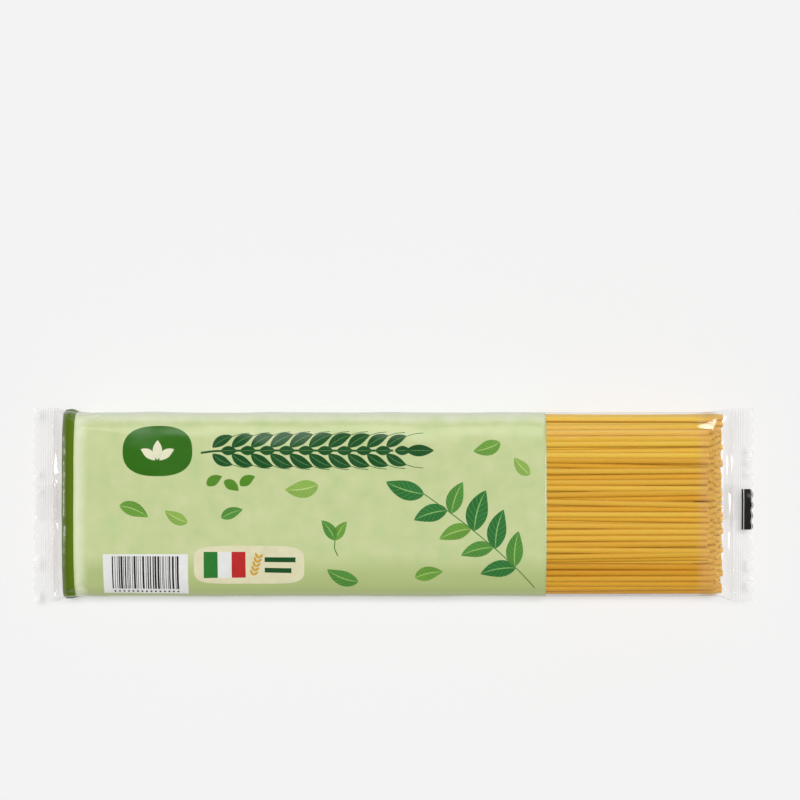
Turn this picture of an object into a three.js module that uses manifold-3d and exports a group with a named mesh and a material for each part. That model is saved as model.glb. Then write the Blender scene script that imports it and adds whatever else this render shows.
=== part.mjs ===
// A flow-wrapped packet of spaghetti, lying on its back seam with its printed face up.
// Millimetres. X runs along the pack from the printed end to the clear end, Y across it, Z up.
// The origin is on the table, under the middle of the pack.

import * as THREE from 'three';
import { mergeVertices } from 'three/addons/utils/BufferGeometryUtils.js';
import Module from 'manifold-3d';

// Driving dimensions of the pack
const PACK_LENGTH = 283.6; // over the zigzag edges
const BODY_WIDTH = 72;
const BODY_TOP = 26;
const BODY_BOTTOM = 0.7; // the film's underside, which the back seam lifts off the table
const BODY_MID = 12.6; // the level at which the body is widest
const BODY_OFFSET = 0.5; // the body lies this far to one side of the seals' middle
const TOP_SQUARENESS = 3.6; // exponents of the section: 2 is an ellipse, and more is squarer
const BOTTOM_SQUARENESS = 4.5;
const PRINT_EDGE = 60.3; // where the printed film gives way to the window
const GAP = 0.3; // left between neighbouring pieces

// The crimped seal at each end
const SEAL_WIDTH = 77.7;
const SEAL_DEPTH = 7.5;
const SEAL_THICKNESS = 0.8;
const SEAL_LEVEL = 10.6;
const RIB_COUNT = 5;
const RIB_PITCH = 0.94;
const RIB_HEIGHT = 0.25;
const TOOTH_PITCH = 4.2;
const TOOTH_DEPTH = 0.8;

// How the body closes down to a seal
const SHOULDER_RUN = 12.4; // from the seal line to the full height
const FLARE_RUN = 17; // over which the sides spread to the seal's width, fastest near the seal
const NECK_LENGTH = 3.5; // the clear film between the seal and the body
const NECK_ROOT = 0.5; // the neck's thickness where it runs into the seal

// The back seam, folded flat under the pack
const SEAM_WIDTH = 14;
const SEAM_THICKNESS = 0.4;
const SEAM_MIDDLE = 1;
const SEAM_REACH = 126; // its half length

// The strands
const STRAND_RADIUS = 1.2;
const STRAND_PITCH = 2.44;
const LAYER_PITCH = 2.13;
const FILM_CLEARANCE = 0.1;
const CORE_INSET = 1.05; // the solid core lies this deep, so that the outer strands stand out of it
const END_SCATTER = 1.6; // how unevenly the strands end

const HALF_LENGTH = PACK_LENGTH / 2;
const SEAL_LINE = HALF_LENGTH - SEAL_DEPTH;
const BODY_END = SEAL_LINE - NECK_LENGTH;
const CORE_END = SEAL_LINE - SHOULDER_RUN - 2;
const SECTION_POINTS = 40;

const wasm = await Module();
wasm.setup();

const { clamp, lerp } = THREE.MathUtils;

// A geometry as a manifold solid: only positions are kept, and shared vertices are merged.
function solid(geometry) {
  const bare = geometry.clone();
  bare.deleteAttribute('normal');
  bare.deleteAttribute('uv');
  const merged = mergeVertices(bare, 1e-5);
  return new wasm.Manifold(new wasm.Mesh({
    numProp: 3,
    vertProperties: new Float32Array(merged.attributes.position.array),
    triVerts: new Uint32Array(merged.index.array),
  }));
}

// A manifold solid back as a geometry.
function geometryOf(manifold) {
  const mesh = manifold.getMesh();
  const geometry = new THREE.BufferGeometry();
  geometry.setAttribute('position', new THREE.Float32BufferAttribute(mesh.vertProperties, 3));
  geometry.setIndex([...mesh.triVerts]);
  return geometry;
}

// How far the body has opened at x: 0 on a seal line, and 1 past the shoulder.
function opening(x) {
  const run = clamp((SEAL_LINE - Math.abs(x)) / SHOULDER_RUN, 0, 1);
  return (1 - (1 - run) ** 3) ** 0.9;
}

// The body's section at x: its middle, its half width, and its height above and below the middle.
function section(x) {
  const open = opening(x);
  const flare = (1 - clamp((SEAL_LINE + 1 - Math.abs(x)) / FLARE_RUN, 0, 1)) ** 3;
  const middle = lerp(SEAL_LEVEL, BODY_MID, open);
  return {
    y: BODY_OFFSET * open,
    z: middle,
    halfWidth: lerp(BODY_WIDTH, SEAL_WIDTH, flare) / 2,
    above: lerp(SEAL_LEVEL + NECK_ROOT / 2, BODY_TOP, open) - middle,
    below: middle - lerp(SEAL_LEVEL - NECK_ROOT / 2, BODY_BOTTOM, open),
  };
}

// A point of the section's outline, drawn in by an inset. It is a superellipse,
// |y / half width| ^ p + |z / height| ^ p = 1, squarer below the middle than above it.
function outlinePoint(x, angle, inset = 0) {
  const s = section(x);
  const upper = Math.sin(angle) >= 0;
  const power = 2 / (upper ? TOP_SQUARENESS : BOTTOM_SQUARENESS);
  const height = (upper ? s.above : s.below) - inset;
  const across = Math.sign(Math.cos(angle)) * Math.abs(Math.cos(angle)) ** power;
  const up = Math.sign(Math.sin(angle)) * Math.abs(Math.sin(angle)) ** power;
  return new THREE.Vector3(x, s.y + (s.halfWidth - inset) * across, s.z + height * up);
}

// Whether a strand at (y, z) lies inside the film at x, tried at its side, its corner and its top.
function fits(x, y, z) {
  const s = section(x);
  const upper = z >= s.z;
  const power = upper ? TOP_SQUARENESS : BOTTOM_SQUARENESS;
  const height = upper ? s.above : s.below;
  return [0, Math.PI / 4, Math.PI / 2].every((angle) => {
    const across = (Math.abs(y - s.y) + STRAND_RADIUS * Math.cos(angle)) / s.halfWidth;
    const up = (Math.abs(z - s.z) + STRAND_RADIUS * Math.sin(angle)) / height;
    return across ** power + up ** power <= 1;
  });
}

// A closed solid through the section's outlines at the given stations, in order of rising x.
function loft(stations, inset = 0) {
  const points = [];
  for (const x of stations) {
    for (let i = 0; i < SECTION_POINTS; i += 1) {
      points.push(outlinePoint(x, (2 * Math.PI * (i + 0.5)) / SECTION_POINTS, inset));
    }
  }
  const faces = [];
  for (let ring = 0; ring + 1 < stations.length; ring += 1) {
    for (let i = 0; i < SECTION_POINTS; i += 1) {
      const next = (i + 1) % SECTION_POINTS;
      const [a, b] = [ring * SECTION_POINTS + i, ring * SECTION_POINTS + next];
      faces.push(a, b, b + SECTION_POINTS, a, b + SECTION_POINTS, a + SECTION_POINTS);
    }
  }
  const last = (stations.length - 1) * SECTION_POINTS;
  for (let i = 1; i + 1 < SECTION_POINTS; i += 1) {
    faces.push(0, i + 1, i);
    faces.push(last, last + i, last + i + 1);
  }
  const geometry = new THREE.BufferGeometry().setFromPoints(points);
  geometry.setIndex(faces);
  return geometry;
}

// A flat outline in X and Z, carried across the pack from y - width / 2 to y + width / 2.
function acrossPack(outline, width, y) {
  const geometry = new THREE.ExtrudeGeometry(new THREE.Shape(outline), {
    depth: width,
    bevelEnabled: false,
  });
  return geometry.rotateX(Math.PI / 2).translate(0, y + width / 2, 0);
}

// Random numbers from 0 to 1 that are the same each time.
function randomSource(seed) {
  let state = seed;
  return () => {
    state = (state + 0x6d2b79f5) | 0;
    let mixed = Math.imul(state ^ (state >>> 15), 1 | state);
    mixed = (mixed + Math.imul(mixed ^ (mixed >>> 7), 61 | mixed)) ^ mixed;
    return ((mixed ^ (mixed >>> 14)) >>> 0) / 4294967296;
  };
}

// The printed film from the seal's neck to the window, full of strands that can't be seen.
function printedWrapper() {
  const stations = [-BODY_END + GAP / 2];
  for (const run of [5, 6.5, 8.5, SHOULDER_RUN, FLARE_RUN]) {
    stations.push(-SEAL_LINE + run);
  }
  stations.push(-40, PRINT_EDGE - GAP / 2);
  return loft(stations);
}

// Points spread evenly round the section's outline, a strand's pitch apart.
function ring(inset) {
  const samples = [];
  for (let i = 0; i <= 720; i += 1) {
    samples.push(outlinePoint(0, (Math.PI * i) / 360, inset));
  }
  const path = new THREE.CurvePath();
  for (let i = 0; i < 720; i += 1) {
    path.add(new THREE.LineCurve3(samples[i], samples[i + 1]));
  }
  const count = Math.floor(path.getLength() / STRAND_PITCH);
  const points = [];
  for (let i = 0; i < count; i += 1) {
    points.push(path.getPoint((i + 0.5) / count));
  }
  return points;
}

// Where the strands lie: layer inside layer, and a last row along the middle.
function strandPlaces() {
  const layers = [];
  let inset = FILM_CLEARANCE + STRAND_RADIUS;
  for (; inset < BODY_MID - BODY_BOTTOM - STRAND_RADIUS; inset += LAYER_PITCH) {
    layers.push(ring(inset));
  }
  const row = [];
  const reach = BODY_WIDTH / 2 - inset;
  for (let y = -reach; y <= reach; y += STRAND_PITCH) {
    row.push(new THREE.Vector3(0, y + BODY_OFFSET, (BODY_MID + BODY_TOP / 2) / 2));
  }
  return [...layers, row];
}

// The bundle in the window: a core, the strands that show along its outside, and every strand's
// end, each of which reaches as far into the closing film as it fits.
function spaghetti() {
  const random = randomSource(7);
  const start = PRINT_EDGE + GAP / 2;
  let bundle = solid(loft([start + 0.4, CORE_END], FILM_CLEARANCE + CORE_INSET));
  strandPlaces().forEach((layer, depth) => {
    const from = depth === 0 ? start : CORE_END - 1;
    for (const { y, z } of layer) {
      let tip = BODY_END - GAP;
      while (tip > CORE_END && !fits(tip, y, z)) {
        tip -= 0.2;
      }
      tip -= END_SCATTER * random();
      if (tip > CORE_END + 0.5) {
        const sides = depth === 0 ? 8 : 6;
        const strand = new THREE.CylinderGeometry(STRAND_RADIUS, STRAND_RADIUS, tip - from, sides)
          .rotateZ(Math.PI / 2)
          .translate((tip + from) / 2, y, z);
        bundle = bundle.add(solid(strand));
      }
    }
  });
  return geometryOf(bundle);
}

// The seal's outline from above: straight inside and a row of rounded teeth outside.
function sealOutline() {
  const half = SEAL_WIDTH / 2;
  const points = [[SEAL_LINE - 1, half], [SEAL_LINE - 1, -half]];
  const count = Math.round(SEAL_WIDTH / TOOTH_PITCH) * 4;
  for (let i = 0; i <= count; i += 1) {
    const wave = Math.cos((Math.PI * (i + 1)) / 2);
    const lift = wave === 0 ? 0 : Math.sign(Math.round(wave));
    points.push([HALF_LENGTH - (TOOTH_DEPTH / 2) * (1 - lift), -half + (SEAL_WIDTH * i) / count]);
  }
  return new THREE.Shape(points.map(([x, y]) => new THREE.Vector2(x, y)));
}

// The seal's profile from the side: a flat margin outside and pressed ribs inside.
function ribbedProfile() {
  const middle = [[HALF_LENGTH + 1, SEAL_LEVEL]];
  for (let i = RIB_COUNT * 2; i >= 0; i -= 1) {
    const swing = i % 2 === 0 ? -RIB_HEIGHT : RIB_HEIGHT;
    middle.push([SEAL_LINE + (RIB_PITCH * i) / 2, SEAL_LEVEL + swing]);
  }
  middle.push([SEAL_LINE - 0.4, SEAL_LEVEL]);
  const upper = middle.map(([x, z]) => new THREE.Vector2(x, z + SEAL_THICKNESS / 2));
  const lower = middle.map(([x, z]) => new THREE.Vector2(x, z - SEAL_THICKNESS / 2));
  return [...upper, ...lower.reverse()];
}

// One end seal and the neck of clear film behind it, at the clear end (1) or the printed end (-1).
function endSeal(side) {
  const plate = new THREE.ExtrudeGeometry(sealOutline(), { depth: 6, bevelEnabled: false })
    .translate(0, 0, SEAL_LEVEL - 3);
  const ribbed = acrossPack(ribbedProfile(), SEAL_WIDTH + 2, 0);
  const neck = loft([BODY_END + GAP / 2, BODY_END + 1.2, BODY_END + 2.5, SEAL_LINE, SEAL_LINE + 0.4]);
  const seal = solid(plate).intersect(solid(ribbed)).add(solid(neck));
  return geometryOf(side > 0 ? seal : seal.mirror([1, 0, 0]));
}

// The back seam: a flat strip under the pack whose ends rise with the film.
function backSeam() {
  const rise = [];
  for (const x of [0, SEAL_LINE - SHOULDER_RUN, 124, SEAM_REACH]) {
    const s = section(x);
    rise.push([x, s.z - s.below - GAP]);
  }
  const right = rise.slice(1);
  const left = right.map(([x, z]) => [-x, z]).reverse();
  const upper = [...left, ...right];
  const lower = upper.map(([x, z]) => [x, z - SEAM_THICKNESS]).reverse();
  const outline = [...upper, ...lower].map(([x, z]) => new THREE.Vector2(x, z));
  return acrossPack(outline, SEAM_WIDTH, SEAM_MIDDLE);
}

function film(color) {
  return new THREE.MeshStandardMaterial({ color, roughness: 0.35, metalness: 0 });
}

function pasta() {
  return new THREE.MeshStandardMaterial({ color: 0xd29f3e, roughness: 0.6, metalness: 0 });
}

const packet = new THREE.Group();

function addPiece(name, geometry, material) {
  const piece = new THREE.Mesh(geometry, material);
  piece.name = name;
  packet.add(piece);
}

addPiece('printed_wrapper', printedWrapper(), film(0xc2ce8f));
addPiece('spaghetti', spaghetti(), pasta());
addPiece('seal_left', endSeal(-1), film(0xe8e9e6));
addPiece('seal_right', endSeal(1), film(0xe8e9e6));
addPiece('back_seam', backSeam(), film(0xc2ce8f));

export default packet;
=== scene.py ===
"""A flow-wrapped packet of spaghetti on a pale table: printed film, a clear window over the strands,
and a crimped seal at each end. Shapes are worked out in millimetres and put into meshes in metres."""

import math

import bpy
import numpy as np
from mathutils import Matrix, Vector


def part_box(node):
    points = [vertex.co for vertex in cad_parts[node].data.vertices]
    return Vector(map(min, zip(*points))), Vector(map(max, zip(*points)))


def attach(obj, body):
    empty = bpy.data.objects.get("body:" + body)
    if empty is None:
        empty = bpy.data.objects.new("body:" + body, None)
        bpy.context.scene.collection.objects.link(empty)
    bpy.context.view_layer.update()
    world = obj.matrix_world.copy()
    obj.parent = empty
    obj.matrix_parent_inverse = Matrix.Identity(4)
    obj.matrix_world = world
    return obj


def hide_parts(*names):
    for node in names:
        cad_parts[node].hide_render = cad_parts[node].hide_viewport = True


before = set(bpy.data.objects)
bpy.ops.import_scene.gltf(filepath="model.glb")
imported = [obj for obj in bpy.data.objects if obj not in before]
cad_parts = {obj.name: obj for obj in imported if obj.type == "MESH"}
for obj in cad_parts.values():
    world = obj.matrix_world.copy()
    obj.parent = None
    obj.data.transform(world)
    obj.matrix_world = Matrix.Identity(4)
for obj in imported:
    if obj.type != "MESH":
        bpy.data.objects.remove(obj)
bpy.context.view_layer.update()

MM = 0.001


def node_box(node):
    """A CAD node's lowest and highest corners, in millimetres."""
    low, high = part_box(node)
    return np.array(low) / MM, np.array(high) / MM


# The pack, from the frame
wrapper_low, wrapper_high = node_box("printed_wrapper")
seal_low, seal_high = node_box("seal_right")
seam_low, seam_high = node_box("back_seam")
HALF_LENGTH = seal_high[0]
SEAL_WIDTH = seal_high[1] - seal_low[1]
BODY_TOP = wrapper_high[2]
BODY_END = -wrapper_low[0]

# Where the print starts and ends on the film, and the band along its start
PRINT_START = -128.7
BAND_END = -123.85
PRINT_EDGE = 59.4
NECK_START = 127.2

# The form of the film, as the CAD pieces have it
BODY_WIDTH = 72.0
BODY_BOTTOM = 0.35
BODY_MID = 12.6
BODY_OFFSET = 0.5
TOP_SQUARENESS = 3.6
BOTTOM_SQUARENESS = 4.5
SEAL_DEPTH = 7.5
SEAL_LEVEL = 10.6
SEAL_GAP = 0.2
SHOULDER_RUN = 12.4
FLARE_RUN = 17.0
RIB_PITCH = 0.94
RIB_COUNT = 5
RIB_HEIGHT = 0.07
TOOTH_PITCH = 4.2
TOOTH_DEPTH = 0.65
NECK_BEND = 1.8
FILM_THICKNESS = 0.05
SEAL_LINE = HALF_LENGTH - SEAL_DEPTH
AROUND = 240

# The strands
STRAND_RADIUS = 1.19
STRAND_PITCH = 2.44
SUNK_PITCH = 1.98
LAYER_PITCH = 2.13

# Their ends: the scatter, how far higher strands are set back, the clearance to the closing film, and the
# taper and the reach of the cut's tone
END_SCATTER = 1.6
TOP_SETBACK = 9.2
LEVEL_SETBACK = 1.6
SETBACK_POWER = 1.6
END_CLEARANCE = 0.3
CUT_TAPER = 0.92
CUT_REACH = 1.2

# The strands in the window: the share they are drawn in to across the pack, the length that starts under
# the print, and the stretch along which they lean and sag
DRAWN_IN = 0.981
HIDDEN_LENGTH = 5.0
WINDOW_MIDDLE = 95.0
WINDOW_HALF = 35.0

# The short strands at the closed end, and the core inside the bundle
RIM_DEPTH = 1.1
CLOSED_CLEARANCE = 1.4
CLOSED_LENGTH = 12.0
CORE_INSET = 3.0


# Meshes from arrays

def grid(points, wrap=False, **values):
    """A sheet from a grid of points (rows, columns, 3). Cell (i, j) is the quad of its four corners, and
    with wrap the last column joins the first. Each of values is one number, or one array, for each point."""
    rows, columns = points.shape[:2]
    index = np.arange(rows * columns).reshape(rows, columns)
    if wrap:
        index = np.hstack([index, index[:, :1]])
    corners = [index[:-1, :-1], index[:-1, 1:], index[1:, 1:], index[1:, :-1]]
    spread = {key: np.broadcast_to(value, (rows, columns)).ravel() for key, value in values.items()}
    return {
        "points": points.reshape(-1, 3),
        "quads": np.stack(corners, axis=-1).reshape(-1, 4),
        "triangles": np.zeros((0, 3), int),
        "values": spread,
    }


def joined(sheets):
    """Several sheets as one, with the later ones' point numbers moved up."""
    starts = np.cumsum([0] + [len(s["points"]) for s in sheets])
    return {
        "points": np.concatenate([s["points"] for s in sheets]),
        "quads": np.concatenate([s["quads"] + n for s, n in zip(sheets, starts)]),
        "triangles": np.concatenate([s["triangles"] + n for s, n in zip(sheets, starts)]),
        "values": {
            key: np.concatenate([s["values"][key] for s in sheets]) for key in sheets[0]["values"]
        },
    }


def make_piece(name, sheet, material, thickness=0.0, sharp=180.0):
    """Puts a sheet into a mesh object that rides on the pack. Its values become point attributes, with u
    and v as a UV map. A thickness, in millimetres, gives it a wall on its inner side."""
    mesh = bpy.data.meshes.new(name)
    faces = sheet["quads"].tolist() + sheet["triangles"].tolist()
    mesh.from_pydata((sheet["points"] * MM).tolist(), [], faces)
    for key, value in sheet["values"].items():
        if key not in ("u", "v"):
            mesh.attributes.new(key, "FLOAT", "POINT").data.foreach_set("value", value.astype(np.float32))
    if "u" in sheet["values"]:
        corner = np.empty(len(mesh.loops), int)
        mesh.loops.foreach_get("vertex_index", corner)
        uv = np.stack([sheet["values"]["u"][corner], sheet["values"]["v"][corner]], axis=-1)
        mesh.uv_layers.new(name="Pattern").data.foreach_set("uv", uv.astype(np.float32).ravel())
    mesh.materials.append(material)
    mesh.shade_smooth()
    if sharp < 180.0:
        mesh.set_sharp_from_angle(angle=math.radians(sharp))
    mesh.update()
    piece = bpy.data.objects.new(name, mesh)
    bpy.context.scene.collection.objects.link(piece)
    if thickness:
        wall = piece.modifiers.new("wall", "SOLIDIFY")
        wall.thickness = thickness * MM
        wall.offset = -1.0
    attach(piece, "root")
    return piece


# The form of the film

def opening(x):
    """How far the body has opened at x: 1 - (1 - run)^3, to the power 0.9, where run goes from 0 on a
    seal line to 1 past the shoulder. A smooth step rounds the bend at the seal line."""
    run = np.clip((SEAL_LINE - np.abs(x)) / SHOULDER_RUN, 0, 1)
    bend = np.clip((SEAL_LINE - np.abs(x)) / NECK_BEND, 0, 1)
    return (1 - (1 - run) ** 3) ** 0.9 * bend * bend * (3 - 2 * bend)


def section(x):
    """The body's section at x: the middle's y and z, the half width, and the height above and below."""
    opened = opening(x)
    flare = (1 - np.clip((SEAL_LINE + 1 - np.abs(x)) / FLARE_RUN, 0, 1)) ** 3
    middle = SEAL_LEVEL + (BODY_MID - SEAL_LEVEL) * opened
    top = SEAL_LEVEL + SEAL_GAP / 2 + (BODY_TOP - SEAL_LEVEL - SEAL_GAP / 2) * opened
    bottom = SEAL_LEVEL - SEAL_GAP / 2 + (BODY_BOTTOM - SEAL_LEVEL + SEAL_GAP / 2) * opened
    half_width = (BODY_WIDTH + (SEAL_WIDTH - BODY_WIDTH) * flare) / 2
    return BODY_OFFSET * opened, middle, half_width, top - middle, middle - bottom


def outline(x, angle, inset=0.0):
    """A point of the superellipse |y / half width|^p + |z / height|^p = 1 at x, for an angle counted from
    +Y towards +Z, drawn in by an inset."""
    y, z, half_width, above, below = section(x)
    upper = np.sin(angle) >= 0
    power = 2 / np.where(upper, TOP_SQUARENESS, BOTTOM_SQUARENESS)
    height = np.where(upper, above, below) - inset
    across = np.sign(np.cos(angle)) * np.abs(np.cos(angle)) ** power
    up = np.sign(np.sin(angle)) * np.abs(np.sin(angle)) ** power
    return y + (half_width - inset) * across, z + height * up


def outline_run(inset=0.0, samples=4000):
    """Angles once round the body's outline and the length of film up to each."""
    angle = np.linspace(-math.pi / 2, 1.5 * math.pi, samples)
    y, z = outline(0.0, angle, inset)
    steps = np.hypot(np.diff(y), np.diff(z))
    return angle, np.concatenate([[0.0], np.cumsum(steps)])


# The outline once round, finely, for turning lengths of film into angles and back
FINE_ANGLE, FINE_RUN = outline_run()
GIRTH = FINE_RUN[-1]


def even_angles(count):
    """Angles that part the outline into equal lengths of film, from the middle of the underside."""
    return np.interp(np.arange(count) * GIRTH / count, FINE_RUN, FINE_ANGLE)


def film_run(angle):
    """The length of film from the middle of the top to an angle, positive towards +Y."""
    lowest = -math.pi / 2
    turned = (angle - lowest) % (2 * math.pi) + lowest
    return GIRTH / 2 - np.interp(turned, FINE_ANGLE, FINE_RUN)


def ridge(x, y, start, end, height, width):
    """A crease from start to end: height * exp(-distance / width), fading in and out along its length."""
    start, end = np.array(start), np.array(end)
    along = end - start
    length = np.hypot(*along)
    share = ((x - start[0]) * along[0] + (y - start[1]) * along[1]) / length**2
    inside = np.clip(share, 0, 1)
    gap = np.hypot(x - start[0] - inside * along[0], y - start[1] - inside * along[1])
    return height * np.exp(-gap / width) * np.sin(math.pi * (0.1 + 0.8 * inside))


# Slack in the film: wave length, heading in degrees, phase and height in millimetres
SLACK_WAVES = [
    (46.0, 12.0, 0.4, 0.21),
    (31.0, 64.0, 2.1, 0.16),
    (24.0, 118.0, 4.4, 0.13),
    (18.0, 38.0, 5.2, 0.08),
    (13.0, 151.0, 1.3, 0.055),
    (9.0, 82.0, 3.3, 0.03),
]

# How far the slack film stands off on the whole, and the share of the waves left over the window
SLACK_LEVEL = 0.06
WINDOW_SLACK = 0.25

# Puckers gathered by a seal: waves round the pack, phase, share, and how they lean along it
PUCKERS = [(11, 0.3, 0.5, 0.05), (17, 2.2, 0.35, -0.07), (26, 4.0, 0.25, 0.03), (39, 1.1, 0.14, 0.02)]
PUCKER_HEIGHT = 0.55
PUCKER_REACH = 8.0

# The upper side's early fall to the ends, and the ears of gathered film at the band's two ends
END_FALL = 0.36
END_FALL_START = 116.5
END_FALL_RUN = 7.0
EAR_PLACE = -126.4
EAR_RUN = 2.5
EAR_HEIGHTS = 1.05, 0.6

# Creases on the upper side: start, end, height and width in millimetres
CREASES = [
    ((-130.0, 36.3), (-121.5, 31.2), 0.55, 0.7),
    ((-121.5, 31.2), (-112.0, 36.0), 0.35, 0.8),
    ((-121.5, 31.2), (-104.0, 28.4), 0.28, 1.3),
    ((-130.0, -35.0), (-122.5, -30.5), 0.50, 0.7),
    ((-122.5, -30.5), (-113.0, -34.2), 0.35, 0.9),
    ((-118.0, -20.0), (-104.0, -31.0), 0.18, 1.2),
    ((131.0, 35.4), (125.8, 29.2), 0.55, 0.35),
    ((125.8, 29.2), (119.0, 31.2), 0.40, 0.35),
    ((124.0, -28.0), (128.8, -31.5), 0.45, 0.4),
    ((129.5, -30.0), (133.5, -36.0), 0.45, 0.5),
]


def relief(x, angle):
    """How far the film stands out of its plain form: long slack waves, puckers that grow towards the
    seals as exp(-distance / reach), a few sharp creases, an early fall to the ends as a square, and an
    ear of gathered film at each end of the dark band. The slack is less along the pack's two sides."""
    run = film_run(angle)
    y, z = outline(x, angle)
    to_seal = np.clip(SEAL_LINE - np.abs(x), 0, None)
    slack = np.zeros(np.broadcast(x, angle).shape)
    for wave, heading, phase, height in SLACK_WAVES:
        turn = math.radians(heading)
        slack += height * np.sin(2 * math.pi * (x * math.cos(turn) + run * math.sin(turn)) / wave + phase)
    taut = WINDOW_SLACK + (1 - WINDOW_SLACK) / (1 + np.exp((x - PRINT_EDGE + 14) / 5))
    gathered = np.zeros_like(slack)
    side = np.where(x > 0, 1.7, 0.0)
    for count, phase, share, lean in PUCKERS:
        gathered += share * np.cos(2 * math.pi * count * run / GIRTH + phase + side + lean * to_seal)
    gathered *= PUCKER_HEIGHT * np.exp(-to_seal / PUCKER_REACH) * (1 - np.exp(-to_seal / 1.5))
    folds = np.zeros_like(slack)
    for start, end, height, width in CREASES:
        folds += ridge(x, y, start, end, height, width)
    folds *= (z > BODY_MID - 3) * (1 - np.exp(-to_seal / 1.0))
    rest = 1 - np.exp(-to_seal / 3.0)
    lying = np.clip((z - 2.0) / 6.0, 0, 1)
    fallen = np.clip((np.abs(x) - END_FALL_START) / END_FALL_RUN, 0, 1.3) ** 2
    fall = -END_FALL * fallen * rest * (z > BODY_MID)
    ears = np.where(y > 0, *EAR_HEIGHTS) * np.exp(-(((x - EAR_PLACE) / EAR_RUN) ** 2))
    ears *= np.clip((np.abs(y) - 31) / 4, 0, 1)
    straight = 1 - 0.6 * np.clip((np.abs(y) - 28) / 7, 0, 1)
    return (slack * taut * straight + SLACK_LEVEL) * rest * lying + gathered + folds + fall + ears * lying


# Flats in the gathered film: three corners (x, y), and how fast the flat falls along x and along y, or
# None for one that lies on the film's own three points. The falls given are those of a face that mirrors
# a low lamp up to the camera.
FLATS = [
    (((116.6, 31.2), (127.4, 35.0), (124.4, 29.1)), (0.071, 0.607)),
    (((125.0, 28.4), (130.6, 34.6), (129.6, 35.8)), (0.071, 0.607)),
    (((121.8, -26.4), (127.0, -28.4), (126.6, -29.6)), (0.71, 0.067)),
    (((126.6, -28.8), (130.6, -32.4), (129.8, -33.6)), (0.71, 0.071)),
    (((129.1, 20.8), (130.7, 19.4), (130.1, 8.6)), (0.71, 0.025)),
    (((131.7, 21.0), (133.2, 19.0), (132.6, 7.2)), (0.71, 0.026)),
    (((130.4, 6.2), (132.2, 4.0), (131.1, -8.2)), (0.71, 0.041)),
    (((130.0, -8.6), (131.5, -10.6), (130.8, -23.4)), (0.71, 0.056)),
    (((-132.0, 23.8), (-130.5, 12.0), (-133.2, 12.0)), (-0.71, 0.024)),
    (((-132.6, 11.2), (-130.0, 10.2), (-131.2, 7.9)), (-0.71, 0.031)),
    (((-133.5, 9.8), (-132.1, 9.0), (-131.9, 4.2)), (-0.71, 0.034)),
    (((-132.0, -5.6), (-130.0, -6.6), (-130.7, -9.8)), (-0.71, 0.047)),
    (((-130.6, -29.8), (-133.7, -35.6), (-132.5, -36.0)), (-0.71, 0.072)),
    (((-124.0, 33.3), (-119.3, 31.7), (-118.5, 35.6)), None),
    (((-119.3, 31.7), (-113.6, 35.4), (-118.5, 35.6)), None),
    (((-128.0, 35.4), (-123.6, 33.4), (-123.2, 35.6)), None),
    (((-124.0, -31.4), (-120.3, -28.7), (-117.5, -34.0)), None),
    (((-128.2, -33.8), (-123.8, -31.0), (-123.2, -34.8)), None),
]


# Over how many millimetres a flat joins the film round it
FLAT_EDGE = 0.3


def pressed_flat(points):
    """Film points with the flats: inside a flat's triangle z goes to its plane, and a smooth step over
    FLAT_EDGE of the least distance to its three sides joins it to the film."""
    x, y, z = np.moveaxis(points, -1, 0)
    for corners, falls in FLATS:
        corner = np.array(corners)
        following = np.roll(corner, -1, axis=0)
        side = following - corner
        turning = np.sign(side[0, 0] * side[1, 1] - side[0, 1] * side[1, 0])
        inside = np.full(x.shape, np.inf)
        for (from_x, from_y), (along_x, along_y) in zip(corner, side):
            gap = (along_x * (y - from_y) - along_y * (x - from_x)) / math.hypot(along_x, along_y)
            inside = np.minimum(inside, turning * gap)
        share = np.clip(inside / FLAT_EDGE + 0.5, 0, 1)
        share = share * share * (3 - 2 * share) * (z > SEAL_LEVEL + 0.1)
        heights = np.array([top_of_film(*place) for place in corners])
        middle_x, middle_y = corner.mean(axis=0)
        if falls is None:
            rise_x, rise_y = np.linalg.solve(side[:2], np.diff(heights))
        else:
            rise_x, rise_y = -falls[0], -falls[1]
        plane = heights.mean() + rise_x * (x - middle_x) + rise_y * (y - middle_y)
        z = z + share * (plane - z)
    return np.stack([x, y, z], axis=-1)


def top_of_film(x, y):
    """The plain film's height above (x, y)."""
    mid_y, mid_z, half_width, above, _ = section(x)
    across = min(abs((y - mid_y) / half_width), 0.999)
    return mid_z + above * (1 - across**TOP_SQUARENESS) ** (1 / TOP_SQUARENESS)


def film_point(x, angle, lift=0.0):
    """Points of the film (x, y, z). The relief and the lift go along the outline's own normal, which is
    (|y|^(p-1) / half width^p, |z|^(p-1) / height^p)."""
    x, angle = np.broadcast_arrays(np.asarray(x, float), np.asarray(angle, float))
    y, z = outline(x, angle)
    mid_y, mid_z, half_width, above, below = section(x)
    upper = np.sin(angle) >= 0
    power = np.where(upper, TOP_SQUARENESS, BOTTOM_SQUARENESS)
    height = np.where(upper, above, below)
    ny = np.sign(y - mid_y) * np.abs((y - mid_y) / half_width) ** (power - 1) / half_width
    nz = np.sign(z - mid_z) * np.abs((z - mid_z) / height) ** (power - 1) / height
    size = np.hypot(ny, nz) + 1e-9
    out = relief(x, angle)
    film = pressed_flat(np.stack([x, y + out * ny / size, z + out * nz / size], axis=-1))
    return film + lift * np.stack([np.zeros_like(x), ny / size, nz / size], axis=-1)


# Painted glints in the seals' outer margins, drawn as whiter film: (place across the pack, half width) at
# each end, and how far past the seal line their middle lies, with half their depth
PAINTED_GLINTS = {
    -1: ((36.4, 1.7), (12.8, 1.7), (5.8, 0.9), (-22.9, 2.3), (-36.2, 2.3)),
    1: ((22.0, 1.3), (17.9, 1.5), (13.1, 1.3), (-23.7, 2.4), (-31.6, 2.1)),
}
PAINTED_GLINT_MIDDLE = 5.9
PAINTED_GLINT_HALF_DEPTH = 1.25

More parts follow.
